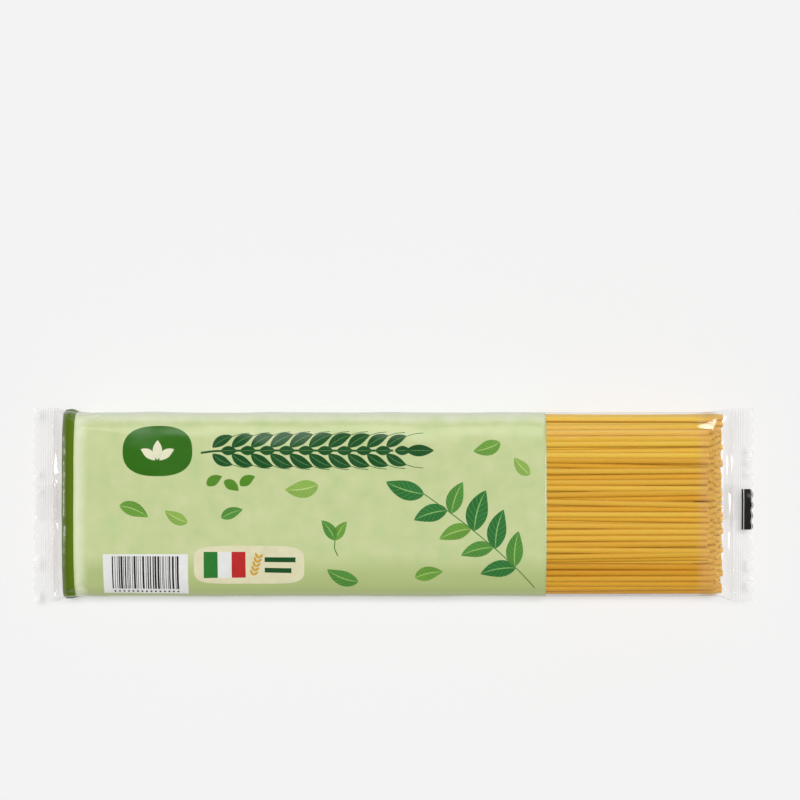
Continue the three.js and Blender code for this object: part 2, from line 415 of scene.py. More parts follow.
# Waves across a seal: wave length, height, and phase for side 1. The bow bends all of it, and the
# flutter only its outer part.
BOW = [(52.0, 0.30, 1.0), (23.0, 0.16, 2.0)]
FLUTTER = [(15.5, 0.46, 1.3), (8.3, 0.36, 0.0)]


def across_waves(y, side, table):
    """The sum of height * sin(2 pi y / wave length + side * phase) over a table of waves."""
    return sum(height * np.sin(2 * math.pi * y / length + phase * side) for length, height, phase in table)


def ribbing(outwards, y, side):
    """How strongly the ribs are pressed: full between the seal line and the last rib, and fainter in
    places across the pack as 0.62 + 0.38 * sin."""
    between = np.clip(outwards / 0.5, 0, 1) * np.clip((RIB_COUNT * RIB_PITCH - outwards) / 0.4, 0, 1)
    return between * (0.62 + 0.38 * np.sin(2 * math.pi * y / 31 + 0.8 * side))


def seal_point(x, angle, side):
    """Points of a seal: two layers SEAL_GAP apart, pressed into ribs across the pack, with a wavy outer
    margin whose edge is a row of teeth."""
    y, z = outline(side * SEAL_LINE, angle)
    outwards = x - SEAL_LINE
    ribs = RIB_HEIGHT * np.sin(2 * math.pi * outwards / RIB_PITCH) * ribbing(outwards, y, side)
    bow = across_waves(y, side, BOW)
    curl = np.clip(outwards / SEAL_DEPTH, 0, 1) ** 2
    flutter = across_waves(y, side, FLUTTER)
    margin = np.clip((outwards - RIB_COUNT * RIB_PITCH) / (SEAL_DEPTH - RIB_COUNT * RIB_PITCH), 0, 1)
    teeth = TOOTH_DEPTH / 2 * (1 - np.cos(2 * math.pi * y / TOOTH_PITCH))
    reach = x - teeth * margin**2
    lift = z + ribs + bow * np.clip(outwards / 3, 0, 1) * 0.6 + curl * flutter
    return np.stack(np.broadcast_arrays(side * reach, y, lift), axis=-1)


def along(*stops):
    """Stations along the pack through stops (x, spacing): each gives where a stretch starts and how far
    apart its stations are, and the last gives the end."""
    runs = []
    for (start, spacing), (end, _) in zip(stops[:-1], stops[1:]):
        count = max(1, round(abs(end - start) / spacing))
        runs.append(np.linspace(start, end, count, endpoint=False))
    return np.concatenate(runs + [[stops[-1][0]]])


def film_tube(stations, angles):
    """Film all round the pack at the given stations, with its outer side out."""
    return grid(film_point(stations[:, None], angles[None, :]), wrap=True)


def seal_sheet(side):
    """The crimped seal at one end, from its seal line to its teeth. Its crimp value is 1 in the hollows of
    the ribs and at the cut edge. Its white value, a painted glint, is 1 in the glint places and falls off as
    exp(-distance^6) along and across the pack."""
    stations = along((SEAL_LINE, RIB_PITCH / 8), (SEAL_LINE + RIB_COUNT * RIB_PITCH, 0.35), (HALF_LENGTH, 0))
    angles = even_angles(2 * AROUND)
    outwards = stations[:, None] - SEAL_LINE
    y = outline(side * SEAL_LINE, angles)[0][None, :]
    hollow = 0.5 - 0.5 * np.sin(2 * math.pi * outwards / RIB_PITCH)
    crimp = ribbing(outwards, y, side) * hollow + np.exp((outwards - SEAL_DEPTH) / 0.25)
    deep = ((outwards - PAINTED_GLINT_MIDDLE) / PAINTED_GLINT_HALF_DEPTH) ** 6
    # Painted glints: whiter film in the outer margins
    white = sum(np.exp(-(((y - place) / half) ** 6) - deep) for place, half in PAINTED_GLINTS[side])
    sheet = grid(seal_point(stations[:, None], angles[None, :], side), wrap=True, crimp=crimp, white=white)
    if side < 0:
        sheet["quads"] = sheet["quads"][:, ::-1]
    return sheet


# The strands

def ring_places(inset):
    """Where the strands of one layer lie, a pitch apart along the outline drawn in by inset."""
    angle, run = outline_run(inset)
    count = int(run[-1] / STRAND_PITCH)
    turned = np.interp((np.arange(count) + 0.5) * run[-1] / count, run, angle)
    return np.stack(outline(0.0, turned, inset), axis=-1)


def outer_places(random):
    """Where the outer strands lie: a pitch apart along the film, but about every fourth one squeezed
    between its neighbours and sunk by sqrt(diameter^2 - pitch^2)."""
    angle, run = outline_run(STRAND_RADIUS + 0.1)
    count = int(run[-1] / STRAND_PITCH) + 8
    sunk = random.random(count) < 0.34
    sunk[1:] &= ~sunk[:-1]
    close = sunk | np.roll(sunk, -1)
    pitch = np.where(close, SUNK_PITCH + random.uniform(0, 0.22, count), STRAND_PITCH)
    ahead = np.cumsum(pitch)
    kept = ahead < run[-1] - STRAND_PITCH / 2
    spread = run[-1] / (ahead[kept][-1] + pitch[-1] / 2)
    turned = np.interp(ahead[kept] * spread - STRAND_PITCH / 2, run, angle)
    depth = np.where(sunk, np.sqrt((2 * STRAND_RADIUS) ** 2 - SUNK_PITCH**2), 0.0)[kept]
    depth += random.uniform(0, 0.14, kept.sum())
    return np.stack(outline(0.0, turned, STRAND_RADIUS + 0.1 + depth), axis=-1), sunk[kept]


def inner_places():
    """The (y, z) of the strands under the outer ones and the layer of each, counted inwards."""
    places, layers = [], []
    inset = STRAND_RADIUS + 0.45 + LAYER_PITCH
    while inset < BODY_MID - BODY_BOTTOM - STRAND_RADIUS:
        ring = ring_places(inset)
        places.append(ring)
        layers.append(np.full(len(ring), len(places)))
        inset += LAYER_PITCH
    reach = BODY_WIDTH / 2 - inset
    y = np.arange(-reach, reach, STRAND_PITCH)
    places.append(np.stack([y + BODY_OFFSET, np.full(len(y), BODY_MID + 0.3)], axis=-1))
    layers.append(np.full(len(y), len(places)))
    return np.concatenate(places), np.concatenate(layers)


def reach_of(places, radius):
    """How far along the pack a strand fits under the closing film: the last station where its side,
    corner and top lie no further out in the section's superellipse than in the middle of the pack."""
    stations = np.linspace(100, BODY_END, 400)
    mid_y, mid_z, half_width, above, below = section(stations[None, :])
    y, z = places[:, :1], places[:, 1:]
    upper = z >= mid_z
    power = np.where(upper, TOP_SQUARENESS, BOTTOM_SQUARENESS)
    height = np.where(upper, above, below)
    fits = np.ones(power.shape, bool)
    for turn in (0, math.pi / 4, math.pi / 2):
        across = (np.abs(y - mid_y) + radius * math.cos(turn)) / half_width
        up = (np.abs(z - mid_z) + radius * math.sin(turn)) / height
        share = across**power + up**power
        fits &= share <= np.maximum(1, share[:, :1] + 0.02)
    last = np.where(fits, np.arange(len(stations)), 0).max(axis=1)
    return stations[last]


def strands(places, radius, start, end, sag, slope, tone, sides, steps):
    """Strands along the pack as one sheet. Strand k runs from start to end through its place, leaning by
    its slope and bent by its sag as the square of the distance from the window's middle; its section is a
    circle, drawn in by CUT_TAPER at the cut ends, and a fan of triangles closes each end."""
    count = len(places)
    chamfer = 0.0015
    share = np.concatenate([[0, chamfer], np.linspace(0, 1, steps)[1:-1], [1 - chamfer, 1]])
    taper = np.ones(len(share))
    taper[[0, -1]] = CUT_TAPER
    turn = np.arange(sides) * 2 * math.pi / sides
    x = start[:, None] + (end - start)[:, None] * share[None, :]
    off = (x - WINDOW_MIDDLE) / WINDOW_HALF
    y = places[:, :1] + slope[:, :1] * off + sag[:, :1] * (off**2 - 0.4)
    z = places[:, 1:] + slope[:, 1:] * off + sag[:, 1:] * (off**2 - 0.4)
    size = radius[:, None] * taper[None, :]
    ring_y = y[..., None] + size[..., None] * np.cos(turn)
    ring_z = z[..., None] + size[..., None] * np.sin(turn)
    points = np.stack([np.broadcast_to(x[..., None], ring_y.shape), ring_y, ring_z], axis=-1)
    rows = len(share)
    index = np.arange(count * rows * sides).reshape(count, rows, sides)
    after = np.roll(index, -1, axis=2)
    corners = [index[:, :-1], after[:, :-1], after[:, 1:], index[:, 1:]]
    middle = np.stack([x[:, [0, -1]], y[:, [0, -1]], z[:, [0, -1]]], axis=-1)
    hub = index.size + np.arange(2 * count).reshape(count, 2)
    first = np.stack([np.broadcast_to(hub[:, :1], (count, sides)), after[:, 0], index[:, 0]], axis=-1)
    last = np.stack([np.broadcast_to(hub[:, 1:], (count, sides)), index[:, -1], after[:, -1]], axis=-1)
    to_end = np.minimum(x - start[:, None], end[:, None] - x)
    return {
        "points": np.concatenate([points.reshape(-1, 3), middle.reshape(-1, 3)]),
        "quads": np.stack(corners, axis=-1).reshape(-1, 4),
        "triangles": np.concatenate([first.reshape(-1, 3), last.reshape(-1, 3)]),
        "values": {
            "tone": np.concatenate([np.repeat(tone, rows * sides), np.repeat(tone, 2)]),
            "cut": np.concatenate([np.repeat(np.exp(-to_end / CUT_REACH), sides), np.ones(2 * count)]),
        },
    }


def tips(places, random):
    """How far each strand reaches: up to the closing film, less a scatter, and the higher strands less
    far, by TOP_SETBACK * t^SETBACK_POWER - LEVEL_SETBACK where that is above 0, with t from 0 at the
    table to 1 at the top."""
    high = np.clip(places[:, 1] / (BODY_TOP - STRAND_RADIUS), 0, 1)
    setback = np.maximum(TOP_SETBACK * high**SETBACK_POWER - LEVEL_SETBACK, 0)
    scatter = END_SCATTER * random.random(len(places))
    return np.minimum(reach_of(places, STRAND_RADIUS), BODY_END - END_CLEARANCE - setback) - scatter


def outer_tone_and_shade(tone, places, sunk):
    """The outer strands' tones, with painted shade and light: the sunk ones painted darker, those on the
    side away from the light painted darker still, and those on the side towards it painted lighter."""
    y = places[:, 0]
    spread = np.where(sunk, 0.35 * tone, 0.08 + 0.75 * tone)
    return spread - 0.65 * (y < -22) + 0.55 * (y > 20)


def window_strands():
    """The strands in the window, drawn in across the pack by DRAWN_IN, so that the film stands off them
    at the sides. Each layer has its own lean, and fewer sides and stations the deeper it lies."""
    random = np.random.default_rng(11)
    outer, sunk = outer_places(random)
    inner, layer = inner_places()
    sheets = []
    for places, lean, sides, steps in (
        (outer, 0.36, 16, 14),
        (inner[layer == 1], 0.30, 12, 8),
        (inner[layer > 1], 0.22, 10, 3),
    ):
        count = len(places)
        radius = STRAND_RADIUS * random.uniform(0.96, 1.05, count)
        free = 1 - (np.abs(places[:, :1] - BODY_OFFSET) / (BODY_WIDTH / 2)) ** 6
        slope = random.normal(0, 1, (count, 2)) * [lean, 0.04] * free
        sag = random.normal(0, 1, (count, 2)) * [0.07, 0.03] * free
        start = np.full(count, PRINT_EDGE - HIDDEN_LENGTH)
        tone = random.random(count)
        # The outer strands' tone holds painted shade and light as well as their own tone
        tone = outer_tone_and_shade(tone, places, sunk) if places is outer else 0.55 + 0.65 * tone
        close = (places - [BODY_OFFSET, 0]) * [DRAWN_IN, 1] + [BODY_OFFSET, 0]
        end = tips(places, random)
        sheets.append(strands(close, radius, start, end, sag, slope, tone, sides, steps))
    return joined(sheets)


def closed_end_strands():
    """Short lengths of strand at the closed end, which the neck film lets through, with a rim of them
    just under the film."""
    random = np.random.default_rng(23)
    inner, _ = inner_places()
    rim = ring_places(STRAND_RADIUS + RIM_DEPTH)
    places = np.concatenate([inner, rim])
    count = len(places)
    tip = reach_of(inner, STRAND_RADIUS + 0.3), reach_of(rim, STRAND_RADIUS + 0.8)
    tip = np.concatenate(tip) - CLOSED_CLEARANCE - END_SCATTER * random.random(count)
    radius = STRAND_RADIUS * random.uniform(0.93, 1.03, count)
    straight = np.zeros((count, 2))
    end = np.full(count, CLOSED_LENGTH - BODY_END)
    return strands(places, radius, -tip, end, straight, straight, random.random(count), 10, 4)


def bundle_core():
    """The inside of the bundle, a closed tube CORE_INSET under the film that ends behind the strand
    ends."""
    stations = along((-BODY_END + 11, 12.0), (BODY_END - 14, 0))
    angle = even_angles(96)
    y, z = outline(stations[:, None], angle[None, :], CORE_INSET)
    points = np.stack(np.broadcast_arrays(stations[:, None], y, z), axis=-1)
    tube = grid(points, wrap=True, tone=0.2, cut=0.0)
    columns = len(angle)
    last = len(tube["points"]) - columns
    step = np.arange(1, columns - 1)
    near = np.stack([np.zeros_like(step), step, step + 1], axis=-1)
    far = np.stack([np.full_like(step, last), last + step + 1, last + step], axis=-1)
    tube["triangles"] = np.concatenate([near, far])
    return tube


# Colours and materials

def linear(red, green, blue):
    """An sRGB colour, 0 to 255, as the linear RGBA that shaders take."""
    share = np.array([red, green, blue]) / 255
    value = np.where(share <= 0.04045, share / 12.92, ((share + 0.055) / 1.055) ** 2.4)
    return (*value.tolist(), 1.0)


def darkened(colour, share):
    """A colour with its red, green and blue at a share of what they were."""
    return tuple(share * part for part in colour[:3]) + (1.0,)


# The band's greens across it: a greyer margin that is a painted sheen, a dark line and a clear green
BAND_GREENS_AND_SHEEN = [
    (0.0, linear(112, 130, 82)),
    (0.32, linear(92, 112, 44)),
    (0.46, linear(80, 102, 16)),
    (0.60, linear(86, 113, 14)),
    (1.0, linear(89, 117, 18)),
]
PRINT_COOL = linear(179, 203, 137)
PRINT_WARM = linear(212, 213, 165)
# The print's painted shade on its -Y side, its painted sheen along the upper edge and its painted highlight
# beside the band
PRINT_PAINTED_LOW_SHADE = linear(178, 192, 129)
PRINT_PAINTED_EDGE_SHEEN = linear(222, 229, 203)
PRINT_PAINTED_BAND_HIGHLIGHT = linear(221, 228, 194)
PASTA_GOLD = linear(231, 191, 74)
PASTA_DEEP = linear(209, 152, 36)
PASTA_CUT = linear(222, 175, 94)
WHITE = linear(255, 255, 255)
NEAR_WHITE = linear(254, 254, 254)
INK_SATIN = {"strength": 0.12, "roughness": 0.22, "swing": 0.08}
PASTA_SATIN = {"strength": 0.25, "roughness": 0.48, "swing": 0.14}
FILM_IOR = 1.5
BUMP_DISTANCE = 0.0002


class Nodes:
    """A material's or a group's node tree with short calls to add and link nodes."""

    def __init__(self, tree):
        self.tree = tree

    def add(self, kind, **settings):
        node = self.tree.nodes.new(kind)
        for key, value in settings.items():
            setattr(node, key, value)
        return node

    def link(self, source, target):
        self.tree.links.new(source, target)

    def feed(self, value, socket):
        """Sets a number or a colour on a socket, or links an output to it."""
        if isinstance(value, (int, float, tuple)):
            socket.default_value = value
        else:
            self.link(value, socket)

    def math(self, operation, *values):
        node = self.add("ShaderNodeMath", operation=operation)
        for value, socket in zip(values, node.inputs):
            self.feed(value, socket)
        return node.outputs[0]

    def mix(self, factor, first, second):
        """A colour mix. Its factor is input 0, and its two colours are inputs 6 and 7."""
        node = self.add("ShaderNodeMix", data_type="RGBA")
        for value, number in ((factor, 0), (first, 6), (second, 7)):
            self.feed(value, node.inputs[number])
        return node.outputs[2]

    def place(self):
        """The place on the pack, parted into X, Y and Z."""
        node = self.add("ShaderNodeSeparateXYZ")
        self.link(self.add("ShaderNodeTexCoord").outputs["Object"], node.inputs[0])
        return node.outputs

    def value_of(self, attribute):
        return self.add("ShaderNodeAttribute", attribute_name=attribute).outputs["Fac"]

    def step(self, value, start, end):
        """A smooth step of a place along the pack or across it, from 0 at start to 1 at end, in mm."""
        node = self.add("ShaderNodeMapRange", interpolation_type="SMOOTHSTEP")
        self.link(value, node.inputs["Value"])
        node.inputs[1].default_value = start * MM
        node.inputs[2].default_value = end * MM
        return node.outputs[0]

    def noise(self, vector, scale, detail):
        node = self.add("ShaderNodeTexNoise")
        self.link(vector, node.inputs["Vector"])
        self.feed(scale, node.inputs["Scale"])
        self.feed(detail, node.inputs["Detail"])
        return node.outputs["Fac"]


def new_material(name):
    """A new material, its node tree and its Principled shader."""
    material = bpy.data.materials.new(name)
    material.use_nodes = True
    nodes = Nodes(material.node_tree)
    shader = material.node_tree.nodes["Principled BSDF"]
    return material, nodes, shader


def ink_grain_group():
    """Mottling of printed film: soft blotches a few millimetres wide and a fine grain over them. It puts
    out both as values from 0 to 1."""
    group = bpy.data.node_groups.new("ink_grain", "ShaderNodeTree")
    for label in ("Blotch", "Grain"):
        group.interface.new_socket(f"{label} Scale", in_out="INPUT", socket_type="NodeSocketFloat")
        group.interface.new_socket(label, in_out="OUTPUT", socket_type="NodeSocketFloat")
    nodes = Nodes(group)
    given = nodes.add("NodeGroupInput")
    result = nodes.add("NodeGroupOutput")
    place = nodes.add("ShaderNodeTexCoord").outputs["Object"]
    for label, detail in (("Blotch", 3.0), ("Grain", 2.0)):
        nodes.link(nodes.noise(place, given.outputs[f"{label} Scale"], detail), result.inputs[label])
    return group


INK_GRAIN = ink_grain_group()


def grained(nodes, blotch=150.0, grain=900.0):
    """The ink grain in a material: its Blotch and Grain outputs."""
    node = nodes.add("ShaderNodeGroup")
    node.node_tree = INK_GRAIN
    node.inputs["Blotch Scale"].default_value = blotch
    node.inputs["Grain Scale"].default_value = grain
    return node.outputs["Blotch"], node.outputs["Grain"]


def satin(nodes, shader, height, strength, roughness, swing):
    """A satin surface: roughness about a value, swung by the height, and a small bump."""
    rough = nodes.math("MULTIPLY_ADD", height, swing, roughness - swing / 2)
    nodes.link(rough, shader.inputs["Roughness"])
    bump = nodes.add("ShaderNodeBump")
    bump.inputs["Strength"].default_value = strength
    bump.inputs["Distance"].default_value = BUMP_DISTANCE
    nodes.link(height, bump.inputs["Height"])
    nodes.link(bump.outputs["Normal"], shader.inputs["Normal"])


def band_greens_and_sheen(nodes, along):
    """The band's greens with the painted sheen on its margin, from where the print starts to where the band
    ends.
    """
    across = nodes.add("ShaderNodeMapRange")
    nodes.link(along, across.inputs["Value"])
    across.inputs["From Min"].default_value = PRINT_START * MM
    across.inputs["From Max"].default_value = BAND_END * MM
    ramp = nodes.add("ShaderNodeValToRGB")
    nodes.link(across.outputs[0], ramp.inputs["Fac"])
    for stop, colour in zip(ramp.color_ramp.elements, BAND_GREENS_AND_SHEEN[:1] + BAND_GREENS_AND_SHEEN[-1:]):
        stop.position, stop.color = colour
    for position, colour in BAND_GREENS_AND_SHEEN[1:-1]:
        ramp.color_ramp.elements.new(position).color = colour
    return ramp.outputs["Color"]


def printed_film_material():
    """Pale green print on film, cooler and warmer in soft blotches, with painted shade along its -Y side, a
    painted sheen paling its upper edge and a painted highlight beside the dark band. The blotches make the
    painted edges wander a little."""
    material, nodes, shader = new_material("printed_film")
    blotch, grain = grained(nodes)
    x, y, z = nodes.place()
    wobble = nodes.math("MULTIPLY", nodes.math("SUBTRACT", blotch, 0.5), 3.0 * MM)
    print_colour = nodes.mix(blotch, PRINT_COOL, PRINT_WARM)
    # Painted shade: the print darkens towards its -Y side, away from the light
    print_colour = nodes.mix(nodes.step(y, -17.0, -28.0), print_colour, PRINT_PAINTED_LOW_SHADE)
    # Painted sheen: the print pales along its upper edge, where the film turns away
    edge = nodes.step(nodes.math("ADD", y, wobble), 31.0, 37.2)
    painted_edge_sheen = nodes.math("MULTIPLY", edge, nodes.step(z, 11.5, 17.5))
    print_colour = nodes.mix(painted_edge_sheen, print_colour, PRINT_PAINTED_EDGE_SHEEN)
    # Painted highlight: a pale stripe on the print beside the dark band
    band_highlight_fall = nodes.step(nodes.math("ADD", x, wobble), -117.8, -122.6)
    beside = nodes.math("MULTIPLY", nodes.step(x, -124.4, -122.4), band_highlight_fall)
    print_colour = nodes.mix(nodes.math("MULTIPLY", beside, 0.9), print_colour, PRINT_PAINTED_BAND_HIGHLIGHT)
    # The band: its own greens, and a painted sheen on its margin
    in_band = nodes.math("LESS_THAN", x, BAND_END * MM)
    nodes.link(nodes.mix(in_band, print_colour, band_greens_and_sheen(nodes, x)), shader.inputs["Base Color"])
    satin(nodes, shader, grain, **INK_SATIN)
    shader.inputs["IOR"].default_value = FILM_IOR
    return material


def ink_material(name, colour, vein=None):
    """One ink on the film. With a vein colour it is a leaf: a pale midrib and side veins on its own UV
    map, where u runs from stalk to tip and v from edge to edge."""
    material, nodes, shader = new_material(name)
    blotch, grain = grained(nodes, 260.0)
    ink = nodes.mix(blotch, darkened(colour, 0.80), colour)
    if vein:
        pattern = nodes.add("ShaderNodeSeparateXYZ")
        nodes.link(nodes.add("ShaderNodeUVMap", uv_map="Pattern").outputs[0], pattern.inputs[0])
        u, v = pattern.outputs["X"], pattern.outputs["Y"]
        off = nodes.math("ABSOLUTE", nodes.math("SUBTRACT", v, 0.5))
        midrib = nodes.math("LESS_THAN", off, 0.035)
        lean = nodes.math("SUBTRACT", nodes.math("MULTIPLY", u, 7.0), nodes.math("MULTIPLY", off, 3.4))
        side = nodes.math("LESS_THAN", nodes.math("FRACT", lean), 0.10)
        half = nodes.math("GREATER_THAN", v, 0.5)
        two_toned = nodes.mix(nodes.math("MULTIPLY", half, 0.35), ink, darkened(colour, 0.68))
        veined = nodes.mix(nodes.math("MULTIPLY", side, 0.35), two_toned, vein)
        ink = nodes.mix(nodes.math("MULTIPLY", midrib, 0.8), veined, vein)
    nodes.link(ink, shader.inputs["Base Color"])
    satin(nodes, shader, grain, **INK_SATIN)
    shader.inputs["IOR"].default_value = FILM_IOR
    return material


def pasta_material():
    """Dry pasta: each strand has its own tone, in the outer strands with painted shade and light in it,
    faint streaks run along it, and its cut ends are pale.
    """
    material, nodes, shader = new_material("pasta")
    tone = nodes.value_of("tone")
    cut = nodes.value_of("cut")
    stretch = nodes.add("ShaderNodeMapping")
    stretch.inputs["Scale"].default_value = (0.06, 1.0, 1.0)
    nodes.link(nodes.add("ShaderNodeTexCoord").outputs["Object"], stretch.inputs["Vector"])
    streak = nodes.noise(stretch.outputs[0], 1400.0, 3.0)
    blend = nodes.math("ADD", nodes.math("MULTIPLY", tone, 0.75), nodes.math("MULTIPLY", streak, 0.40))
    body = nodes.mix(blend, PASTA_DEEP, PASTA_GOLD)
    nodes.link(nodes.mix(nodes.math("MULTIPLY", cut, 0.7), body, PASTA_CUT), shader.inputs["Base Color"])
    satin(nodes, shader, streak, **PASTA_SATIN)
    shader.inputs["IOR"].default_value = 1.45
    shader.inputs["Subsurface Weight"].default_value = 0.35
    shader.inputs["Subsurface Radius"].default_value = (1.0, 0.55, 0.15)
    shader.inputs["Subsurface Scale"].default_value = 0.0009
    return material


def crimped(nodes, share, tint):
    """Film in a seal: it scatters more in the crimp, from a slightly greyer body, and most in the painted
    glints, from a white one."""
    crimp = nodes.value_of("crimp")
    white = nodes.value_of("white")
    share = nodes.math("ADD", share, nodes.math("MULTIPLY", crimp, 0.17))
    # Painted glints: the white value makes the margins' film whiter where they would catch the light
    share = nodes.math("ADD", share, nodes.math("MULTIPLY", white, 0.30))
    greyed = nodes.mix(crimp, tint, linear(251, 251, 251))
    return share, nodes.mix(white, greyed, WHITE)


def dusty(nodes, share, tint):
    """Film over the strand ends: it scatters more there, from a body of the pasta's own colour."""
    x, _, _ = nodes.place()
    dust = nodes.math("MULTIPLY", nodes.step(x, 117.0, 124.0), nodes.step(x, 128.2, 124.0))
    share = nodes.math("ADD", share, nodes.math("MULTIPLY", dust, 0.24))
    return share, nodes.mix(dust, tint, linear(252, 212, 120))


def film_material(name, haze, rim, roughness, mirror, tint, finish=None):
    """Film that can be seen through. With facing 0 head on and 1 edge on, a face scatters haze + rim *
    facing^3 of the light from a body of its tint and reflects mirror * (0.05 + 0.95 * facing^5). A finish
    such as crimped or dusty changes the share scattered and the tint from place to place."""
    material = bpy.data.materials.new(name)
    material.use_nodes = True
    nodes = Nodes(material.node_tree)
    material.node_tree.nodes.remove(material.node_tree.nodes["Principled BSDF"])
    output = material.node_tree.nodes["Material Output"]
    facing = nodes.add("ShaderNodeLayerWeight").outputs["Facing"]
    share = nodes.math("MULTIPLY_ADD", nodes.math("POWER", facing, 3.0), rim, haze)
    if finish:
        share, tint = finish(nodes, share, tint)
    body = nodes.add("ShaderNodeMixShader")
    body.inputs[0].default_value = 0.5
    for number, kind in ((1, "ShaderNodeBsdfDiffuse"), (2, "ShaderNodeBsdfTranslucent")):
        part = nodes.add(kind)
        nodes.feed(tint, part.inputs["Color"])
        nodes.link(part.outputs[0], body.inputs[number])
    gloss = nodes.add("ShaderNodeBsdfGlossy")
    gloss.inputs["Roughness"].default_value = roughness
    glint = nodes.math("MULTIPLY_ADD", nodes.math("POWER", facing, 5.0), 0.95 * mirror, 0.05 * mirror)
    shown = nodes.add("ShaderNodeBsdfTransparent").outputs[0]
    for amount, layer in ((share, body), (glint, gloss)):
        mixed = nodes.add("ShaderNodeMixShader")
        nodes.link(amount, mixed.inputs[0])
        nodes.link(shown, mixed.inputs[1])
        nodes.link(layer.outputs[0], mixed.inputs[2])
        shown = mixed.outputs[0]
    nodes.link(shown, output.inputs["Surface"])
    return material


# Print

def on_film(sheet, lift):
    """A flat sheet in (x, y) laid on the film's upper side, lifted off it by lift."""
    x, y = sheet["points"][:, 0], sheet["points"][:, 1]
    mid_y, _, half_width, _, _ = section(x)
    across = np.clip((y - mid_y) / half_width, -1, 1)
    angle = np.arccos(np.sign(across) * np.abs(across) ** (TOP_SQUARENESS / 2))
    return {**sheet, "points": film_point(x, angle, lift)}


def flat(x, y, **values):
    """A sheet at z = 0 from grids of x and y."""
    return grid(np.stack([x, y, np.zeros_like(x)], axis=-1), **values)


def rounded_field(x, y, half_length, half_height, squareness, rings, turns):
    """A filled superellipse: radius r from 0.02 to 1 times the outline at angle t."""
    r = np.linspace(0.02, 1, rings)[:, None]
    t = np.linspace(0, 2 * math.pi, turns, endpoint=False)[None, :]
    power = 2 / squareness
    across = np.sign(np.cos(t)) * np.abs(np.cos(t)) ** power
    up = np.sign(np.sin(t)) * np.abs(np.sin(t)) ** power
    points = np.stack([x + half_length * r * across, y + half_height * r * up, 0 * r * t], axis=-1)
    sheet = grid(points, wrap=True)
    step = np.arange(1, turns - 1)
    sheet["triangles"] = np.stack([np.zeros_like(step), step, step + 1], axis=-1)
    sheet["quads"] = sheet["quads"][:, ::-1]
    return sheet


def bar(x0, x1, y0, y1):
    """A filled rectangle with cells of about a millimetre."""
    x = np.linspace(x0, x1, max(2, int(abs(x1 - x0)) + 2))
    y = np.linspace(y0, y1, max(2, int(abs(y1 - y0)) + 2))
    xx, yy = np.meshgrid(x, y, indexing="ij")
    return turned_up(flat(xx, yy))


def turned_up(sheet):
    """A flat sheet with its faces turned to look up."""
    a, b, c = (sheet["points"][sheet["quads"][:, k]] for k in (0, 1, 2))
    up = np.cross(b - a, c - a)[:, 2].sum()
    if up < 0:
        sheet["quads"] = sheet["quads"][:, ::-1]
    return sheet


def leaf(x, y, length, width, heading, bend, fullness=0.8):
    """A leaf from its stalk at (x, y): u runs along a midrib bent like an arc, and the blade's half width
    is width / 2 * sin(pi * u^fullness)^0.85, so that it is fullest near the stalk and pointed."""
    u = np.linspace(0, 1, 19)[:, None]
    v = np.linspace(0, 1, 9)[None, :]
    blade = width / 2 * np.clip(np.sin(math.pi * u**fullness), 0, 1) ** 0.85
    rib_x, rib_y = length * u, bend * length * 4 * u * (1 - u) * 0.5
    tilt = np.arctan(bend * 2 * (1 - 2 * u))
    px = rib_x - np.sin(tilt) * blade * (2 * v - 1)
    py = rib_y + np.cos(tilt) * blade * (2 * v - 1)
    turn = math.radians(heading)
    along_x = x + px * math.cos(turn) - py * math.sin(turn)
    along_y = y + px * math.sin(turn) + py * math.cos(turn)
    return turned_up(flat(along_x, along_y, u=u, v=v))


def stalk(points, width):
    """A thin line of even width through (x, y) points, eight stations to a point, with all stations but
    the two at either end moved to the mean of the five round them."""
    points = np.array(points, float)
    t = np.linspace(0, len(points) - 1, 8 * len(points))
    x = np.interp(t, np.arange(len(points)), points[:, 0])
    y = np.interp(t, np.arange(len(points)), points[:, 1])
    smooth = np.ones(5) / 5
    x[2:-2] = np.convolve(x, smooth, "valid")
    y[2:-2] = np.convolve(y, smooth, "valid")
    dx, dy = np.gradient(x), np.gradient(y)
    size = np.hypot(dx, dy)
    side = np.array([-1, 1]) * width / 2
    xx = x[:, None] - (dy / size)[:, None] * side
    yy = y[:, None] + (dx / size)[:, None] * side
    return turned_up(flat(xx, yy))


def wheat_ear(x0, x1, y, length, width, lean):
    """A lying ear of wheat from x0 to x1: grains in pairs that lean off the stalk, a grain between each
    two pairs, one at the tip, and a fine bristle from each side grain."""
    step = length * 0.72
    stations = np.arange(x0, x1 - length, step)
    grains, bristles = [], []
    for k, x in enumerate(stations):
        full = 0.8 + 0.2 * math.sin(math.pi * (k + 1.2) / (len(stations) + 1.4))
        for side in (1, -1):
            start = y + side * 1.15
            grains.append(leaf(x, start, full * length, full * width, side * lean, side * 0.16, 0.9))
            turn = math.radians(lean)
            tip_x = x + full * length * math.cos(turn)
            tip_y = start + side * full * length * math.sin(turn)
            bristles.append(stalk([(tip_x - 0.6, tip_y - side * 0.2), (tip_x + 3.0, tip_y + side * 0.9),
                                   (tip_x + 6.4, tip_y + side * 1.2)], 0.24))
        grains.append(leaf(x + step * 0.42, y, length * 0.62, width * 0.8, 0, 0.0, 0.9))
    grains.append(leaf(stations[-1] + step, y, length * 1.05, width, 0, 0.0, 0.9))
    return grains, bristles


def print_piece(name, sheets, material, lift):
    """Flat sheets laid on the film as one piece, which keeps their UV if all of them have one."""
    patterned = all("u" in sheet["values"] for sheet in sheets)
    if not patterned:
        sheets = [{**sheet, "values": {}} for sheet in sheets]
    make_piece(name, on_film(joined(sheets), lift), material)


# How far the two layers of ink lie above the film
FIRST_INK, SECOND_INK = 0.03, 0.06


